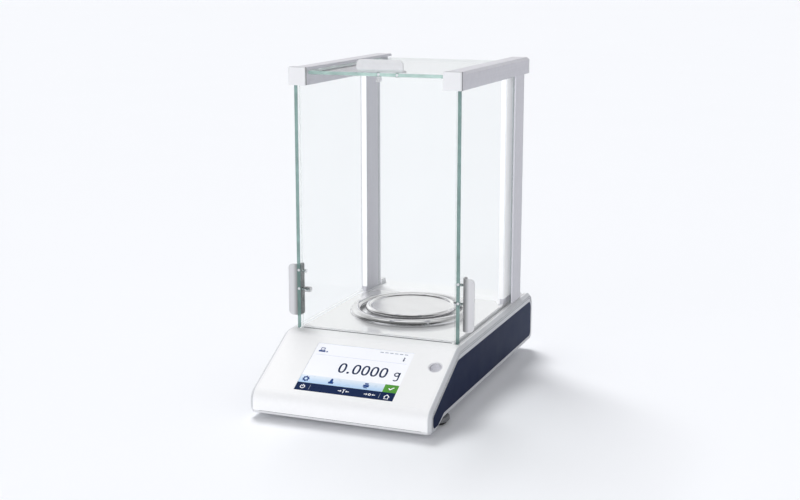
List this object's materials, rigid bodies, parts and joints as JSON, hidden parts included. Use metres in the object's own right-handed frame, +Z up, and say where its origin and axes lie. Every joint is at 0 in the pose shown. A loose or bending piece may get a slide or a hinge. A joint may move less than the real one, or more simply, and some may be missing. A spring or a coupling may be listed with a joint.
{
  "type": "analytical balance",
  "caption": "Analytical laboratory balance with sloped touch terminal, round steel pan, wind ring and a glass draft shield with sliding doors.",
  "frame": {"origin": "on the bench, under the centre of the balance's outline", "axes": "+X to the right, +Y to the rear, +Z up; the terminal faces -Y"},
  "size_m": [0.2076, 0.347, 0.3533],
  "materials": {
    "white_housing": "fine satin moulding",
    "grey_tray": "satin moulding",
    "steel_screws": "zinc plated",
    "grey_cover": "satin silver-grey paint",
    "navy_inlay": "satin dark blue",
    "overlay_film": "thin film, soft gloss",
    "screen_glass": "lit display under a clear cover",
    "circuit_board": "solder mask",
    "level_plastic": "satin",
    "clear_lens": "clear",
    "black_socket": "satin black",
    "steel_socket": "tin plated",
    "floor_enamel": "gloss light grey",
    "cell_aluminium": "machined",
    "spring_steel": "ground",
    "magnet_iron": "plated",
    "coil_brass": "enamelled copper wire",
    "brass_parts": "turned",
    "track_plastic": "grey, satin",
    "rail_aluminium": "silver anodised",
    "white_cap": "satin moulding",
    "pane_glass": "clear float glass with green edges",
    "handle_grey": "satin grey",
    "chrome_parts": "bright",
    "pan_steel": "polished stainless steel",
    "foot_rubber": "matt",
    "foot_grey": "moulded wheel on a steel spindle"
  },
  "bodies": {
    "base": {"upper_housing": "white_housing", "lower_housing": "grey_tray", "housing_screws": "steel_screws", "hook_cover": "grey_tray", "right_side_cover": "grey_cover", "left_side_cover": "grey_cover", "right_side_inlay": "navy_inlay", "left_side_inlay": "navy_inlay", "terminal_overlay": "overlay_film", "touch_screen": "screen_glass", "display_module": "circuit_board", "level_cup": "level_plastic", "level_lens": "clear_lens", "dc_jack": "black_socket", "serial_port": "steel_socket", "usb_device_port": "steel_socket", "usb_host_port": "steel_socket", "floor_plate": "floor_enamel", "cell_bracket": "cell_aluminium", "cell_body": "cell_aluminium", "cell_lever": "cell_aluminium", "cell_flexures": "spring_steel", "magnet_pot": "magnet_iron", "force_coil": "coil_brass", "load_carrier": "spring_steel", "main_board": "circuit_board", "board_posts": "brass_parts", "right_door_track": "track_plastic", "left_door_track": "track_plastic", "right_top_rail": "rail_aluminium", "left_top_rail": "rail_aluminium", "rail_end_caps": "grey_cover", "right_front_cap": "white_cap", "left_front_cap": "white_cap", "right_rear_column": "rail_aluminium", "left_rear_column": "rail_aluminium", "right_outer_leg": "rail_aluminium", "left_outer_leg": "rail_aluminium", "column_feet": "white_cap", "front_glass": "pane_glass", "rear_glass": "pane_glass", "foot_inserts": "brass_parts", "rear_feet": "foot_rubber"},
    "right_door": {"right_door_glass": "pane_glass", "right_door_handle": "handle_grey", "right_door_fixings": "chrome_parts"},
    "left_door": {"left_door_glass": "pane_glass", "left_door_handle": "handle_grey", "left_door_fixings": "chrome_parts"},
    "top_door": {"top_door_glass": "pane_glass", "top_door_handle": "handle_grey", "top_door_fixings": "chrome_parts"},
    "pan_support": {"pan_support": "cell_aluminium"},
    "pan": {"weighing_pan": "pan_steel"},
    "ring": {"wind_ring": "pan_steel"},
    "right_foot_pad": {"right_foot_pad": "foot_rubber"},
    "left_foot_pad": {"left_foot_pad": "foot_rubber"},
    "right_foot_screw": {"right_foot_screw": "foot_grey"},
    "left_foot_screw": {"left_foot_screw": "foot_grey"}
  },
  "joints": [
    {"name": "right_door_slide", "type": "slide", "parent": "base", "child": "right_door", "axis": [0, 1, 0], "range_m": [0, 0.145]},
    {"name": "left_door_slide", "type": "slide", "parent": "base", "child": "left_door", "axis": [0, 1, 0], "range_m": [0, 0.145]},
    {"name": "top_door_slide", "type": "slide", "parent": "base", "child": "top_door", "axis": [0, 1, 0], "range_m": [0, 0.14]},
    {"name": "support_lift", "type": "slide", "parent": "base", "child": "pan_support", "axis": [0, 0, 1], "range_m": [0, 0.04]},
    {"name": "pan_lift", "type": "slide", "parent": "pan_support", "child": "pan", "axis": [0, 0, 1], "range_m": [0, 0.06]},
    {"name": "ring_lift", "type": "slide", "parent": "base", "child": "ring", "axis": [0, 0, 1], "range_m": [0, 0.06]},
    {"name": "right_foot_height", "type": "slide", "parent": "base", "child": "right_foot_pad", "axis": [0, 0, -1], "range_m": [-0.002, 0.006]},
    {"name": "right_foot_turn", "type": "hinge", "parent": "right_foot_pad", "child": "right_foot_screw", "pos_m": [0.083, -0.121, 0.005], "axis": [0, 0, -1], "range_deg": [-720, 2160]},
    {"name": "left_foot_height", "type": "slide", "parent": "base", "child": "left_foot_pad", "axis": [0, 0, -1], "range_m": [-0.002, 0.006]},
    {"name": "left_foot_turn", "type": "hinge", "parent": "left_foot_pad", "child": "left_foot_screw", "pos_m": [-0.083, -0.121, 0.005], "axis": [0, 0, -1], "range_deg": [-720, 2160]}
  ],
  "couplings": [
    {"joint": "right_foot_height", "follows": "right_foot_turn", "m_per_rad": 0.00015915},
    {"joint": "left_foot_height", "follows": "left_foot_turn", "m_per_rad": 0.00015915}
  ]
}
